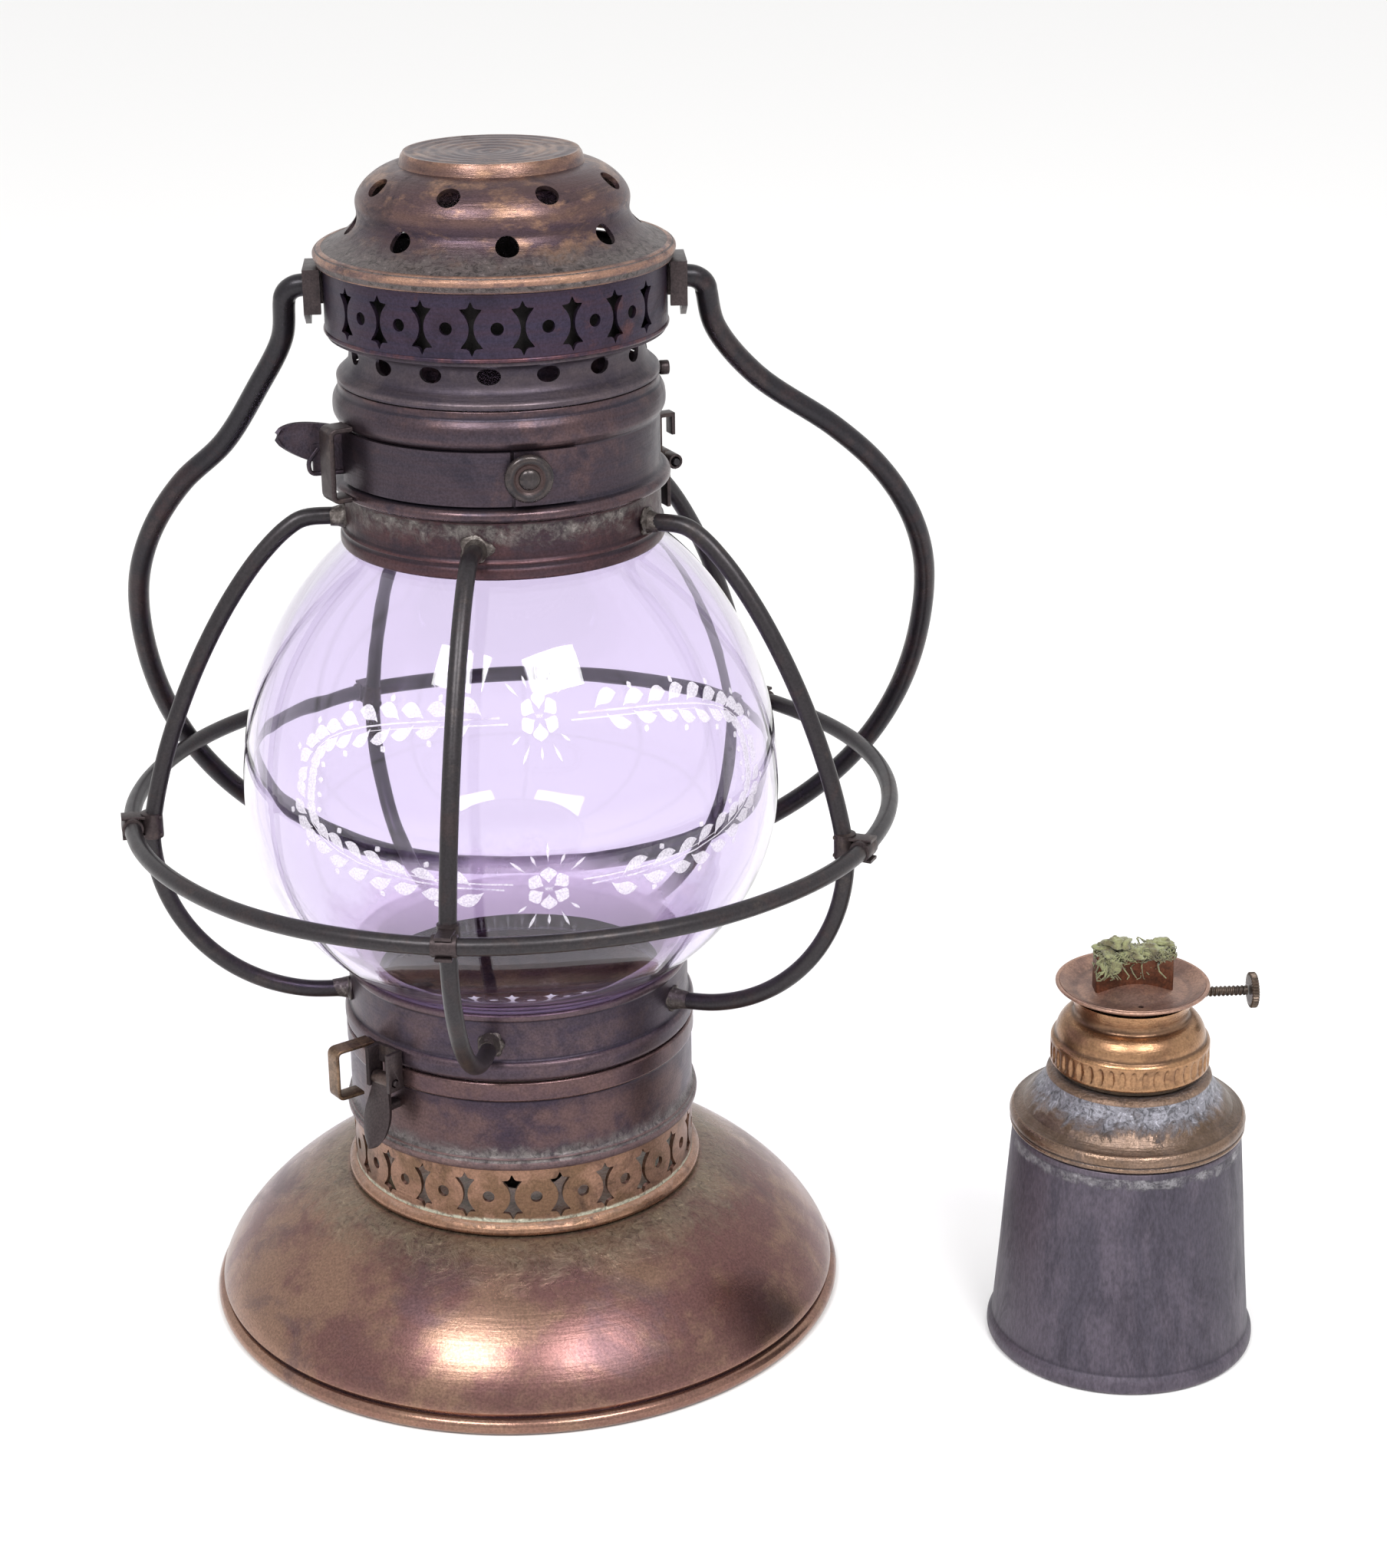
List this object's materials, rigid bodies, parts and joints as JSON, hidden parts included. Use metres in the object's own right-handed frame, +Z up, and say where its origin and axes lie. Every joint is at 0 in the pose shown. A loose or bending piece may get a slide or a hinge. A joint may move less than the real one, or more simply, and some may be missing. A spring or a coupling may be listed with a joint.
{
  "type": "caged globe hand lamp with separate oil font",
  "caption": "Brass hand lamp with a bell foot, caged glass globe, pierced dome and swinging bail, its flat-wick oil font standing beside it.",
  "frame": {"origin": "middle of the whole part's outline on the surface that the lamp and its font stand on", "axes": "+Z up, along the lamp's axis; -Y is the front, with the riveted latch strip; +X points from the lamp towards the font"},
  "size_m": [0.251, 0.1726, 0.265],
  "materials": {
    "dark_brass": "dark brown tarnish over brass",
    "warm_brass": "worn brown bronze with a soft sheen",
    "bright_brass": "rubbed golden brass",
    "burner_brass": "satin yellow brass",
    "copper": "heat-browned brass",
    "black_wire": "blackened brass wire",
    "grey_tin": "dull grey tinplate",
    "clear_glass": "clear glass with a faint violet tint",
    "cement": "dry plaster, orange brown",
    "cork": "dark cork",
    "cotton": "frayed greenish cotton"
  },
  "bodies": {
    "base": {"bell": "warm_brass", "base_band": "bright_brass", "base_collar": "dark_brass", "font_seat": "warm_brass", "base_hinge_lower": "dark_brass", "base_hinge_pin": "black_wire"},
    "cage": {"lower_ring": "dark_brass", "globe": "clear_glass", "globe_seal_lower": "cement", "globe_seal_upper": "cement", "upper_ring": "dark_brass", "wire_1": "black_wire", "wire_2": "black_wire", "wire_3": "black_wire", "wire_4": "black_wire", "wire_5": "black_wire", "clip_1": "black_wire", "clip_2": "black_wire", "clip_3": "black_wire", "clip_4": "black_wire", "clip_5": "black_wire", "guard_ring": "black_wire", "lid_collar": "dark_brass", "lid_neck": "dark_brass", "gallery_band": "dark_brass", "dome": "warm_brass", "ear_right": "dark_brass", "ear_left": "dark_brass", "lid_latch_plate": "dark_brass", "lid_latch_button": "black_wire", "lid_latch_keeper": "dark_brass", "lid_hinge_upper": "dark_brass", "lid_hinge_lower": "dark_brass", "lid_hinge_pin": "black_wire", "lid_knob": "warm_brass", "base_hinge_upper": "dark_brass", "base_latch_bracket": "dark_brass", "base_latch_pin": "black_wire", "base_latch_loop": "bright_brass"},
    "lid_latch": {"lid_latch_spring": "dark_brass"},
    "base_latch": {"base_latch_leaf": "dark_brass"},
    "bail_handle": {"bail": "black_wire"},
    "font": {"tank": "grey_tin", "tank_shoulder": "warm_brass"},
    "burner_seal": {"burner_gasket": "cork"},
    "burner": {"burner_collar": "burner_brass", "draft_plate": "copper", "wick_tube": "copper"},
    "wick_wheel": {"wick_shaft": "copper", "thumbwheel": "copper"},
    "wick_strip": {"wick": "cotton"}
  },
  "joints": [
    {"name": "base_hinge", "type": "hinge", "parent": "base", "child": "cage", "pos_m": [-0.00806, 0.02973, 0.0692], "axis": [-0.6947, 0.7193, 0], "range_deg": [0, 90]},
    {"name": "base_latch_turn", "type": "hinge", "parent": "cage", "child": "base_latch", "pos_m": [-0.06935, -0.02945, 0.0662], "axis": [-0.6947, 0.7193, 0], "range_deg": [0, 25], "stiffness_Nm_per_rad": 0.05, "springref_deg": -11.46},
    {"name": "lid_latch_flex", "type": "hinge", "parent": "cage", "child": "lid_latch", "pos_m": [-0.03657, -0.03479, 0.2036], "axis": [0, 0, 1], "range_deg": [0, 3], "stiffness_Nm_per_rad": 0.6, "springref_deg": -2.86},
    {"name": "bail_swing", "type": "hinge", "parent": "cage", "child": "bail_handle", "pos_m": [-0.0387, 0.00014, 0.2375], "axis": [1, 0, 0], "range_deg": [0, 317]},
    {"name": "font_lift", "type": "slide", "parent": "base", "child": "font", "axis": [0, 0, 1], "range_m": [0, 0.12]},
    {"name": "burner_rise", "type": "slide", "parent": "font", "child": "burner_seal", "axis": [0, 0, 1], "range_m": [0, 0.005]},
    {"name": "burner_turn", "type": "hinge", "parent": "burner_seal", "child": "burner", "pos_m": [0.0955, -0.03776, 0.07], "axis": [0, 0, 1], "range_deg": [0, 720]},
    {"name": "wick_wheel_turn", "type": "hinge", "parent": "burner", "child": "wick_wheel", "pos_m": [0.0955, -0.03381, 0.0818], "axis": [-1, 0, 0], "range_deg": [0, 120]},
    {"name": "wick_rise", "type": "slide", "parent": "burner", "child": "wick_strip", "axis": [0, 0, 1], "range_m": [0, 0.0046]}
  ],
  "couplings": [
    {"joint": "burner_turn", "follows": "burner_rise", "rad_per_m": 2513.3},
    {"joint": "wick_wheel_turn", "follows": "wick_rise", "rad_per_m": 454.55}
  ]
}
